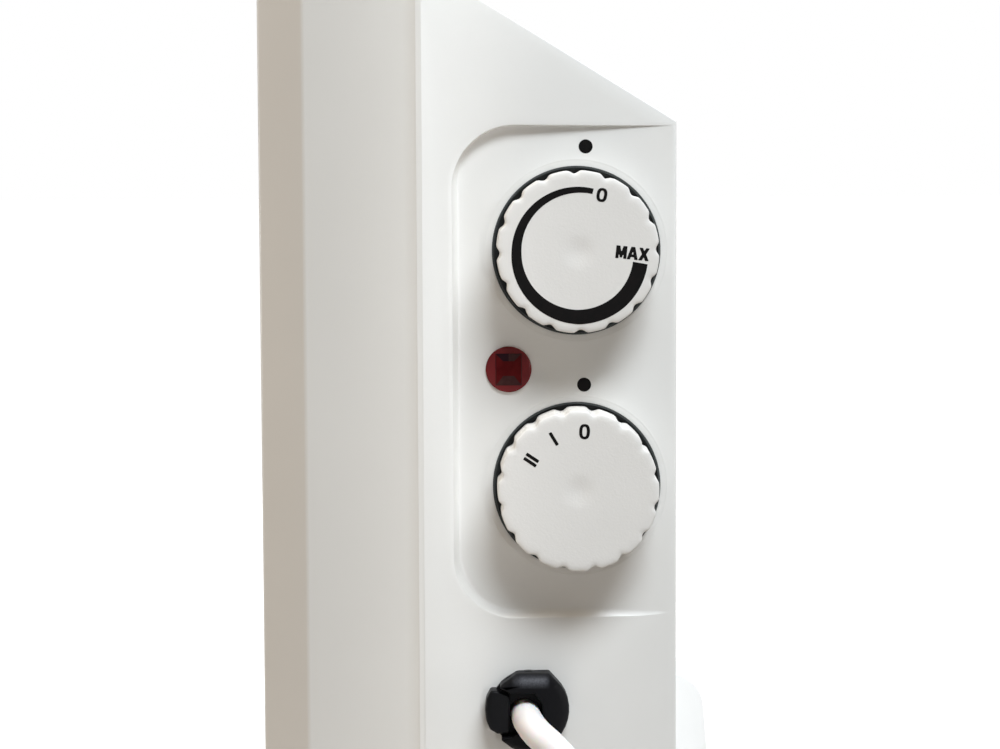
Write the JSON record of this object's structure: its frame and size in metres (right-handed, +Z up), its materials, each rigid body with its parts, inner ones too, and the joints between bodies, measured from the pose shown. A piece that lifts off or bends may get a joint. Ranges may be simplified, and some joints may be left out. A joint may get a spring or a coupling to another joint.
{
  "type": "electric convector heater",
  "caption": "Free-standing electric convector heater: folded steel casing with air slots, moulded end caps, a control recess with turning knobs and a lamp, feet, and a lead with plug.",
  "frame": {"origin": "on the floor under the middle of the heater, measured without its lead", "axes": "+Z up, +X towards the end with the controls, -Y towards the front"},
  "size_m": [0.7464, 0.2501, 0.38],
  "materials": {
    "casing_paint": "satin white paint on sheet steel",
    "cap_plastic": "satin white moulding",
    "foot_plastic": "satin white moulding",
    "knob_plastic": "fine-grained white moulding",
    "bezel_plastic": "dark grey moulding",
    "lens_plastic": "clear red moulding",
    "lamp_glass": "clear",
    "bushing_nylon": "black moulding",
    "switch_plastic": "dark moulding",
    "block_plastic": "pale moulding",
    "plated_steel": "zinc plated",
    "element_aluminium": "extruded",
    "bush_ceramic": "unglazed",
    "wire_sleeve": "insulated wire",
    "pad_rubber": "matt",
    "lead_vinyl": "smooth white sheath",
    "tie_vinyl": "soft strap",
    "pin_plate": "nickel plated"
  },
  "bodies": {
    "heater": {"front_panel": "casing_paint", "top_grille": "casing_paint", "back_panel": "casing_paint", "bottom_grille": "casing_paint", "left_end_cap": "cap_plastic", "right_end_cap": "cap_plastic", "left_foot": "foot_plastic", "right_foot": "foot_plastic", "thermostat_bezel": "bezel_plastic", "selector_bezel": "bezel_plastic", "neon_lens": "lens_plastic", "neon_lamp": "lamp_glass", "strain_relief_body": "bushing_nylon", "strain_relief_jaw": "bushing_nylon", "thermostat_body": "switch_plastic", "selector_body": "switch_plastic", "terminal_block": "block_plastic", "control_plate": "plated_steel", "left_element_bracket": "plated_steel", "right_element_bracket": "plated_steel", "thermostat_nut": "plated_steel", "selector_nut": "plated_steel", "control_screws": "plated_steel", "panel_screws": "plated_steel", "cap_screws": "plated_steel", "foot_screws": "plated_steel", "thermal_cutout": "plated_steel", "upper_element_rod": "plated_steel", "lower_element_rod": "plated_steel", "upper_element_fins": "element_aluminium", "lower_element_fins": "element_aluminium", "heat_shield": "element_aluminium", "element_bushes": "bush_ceramic", "wiring": "wire_sleeve", "foot_pads": "pad_rubber", "cord_drop": "lead_vinyl", "cord_coil": "lead_vinyl", "plug_body": "lead_vinyl", "cord_tie": "tie_vinyl", "plug_pins": "pin_plate"},
    "thermostat_control": {"thermostat_knob": "knob_plastic", "thermostat_spindle": "plated_steel"},
    "selector_control": {"selector_knob": "knob_plastic", "selector_spindle": "plated_steel"}
  },
  "joints": [
    {"name": "thermostat_turn", "type": "hinge", "parent": "heater", "child": "thermostat_control", "pos_m": [0.287, 0.0258, 0.308], "axis": [-1, 0, 0], "range_deg": [-18, 264]},
    {"name": "selector_turn", "type": "hinge", "parent": "heater", "child": "selector_control", "pos_m": [0.287, 0.0258, 0.249], "axis": [-1, 0, 0], "range_deg": [0, 67]}
  ]
}
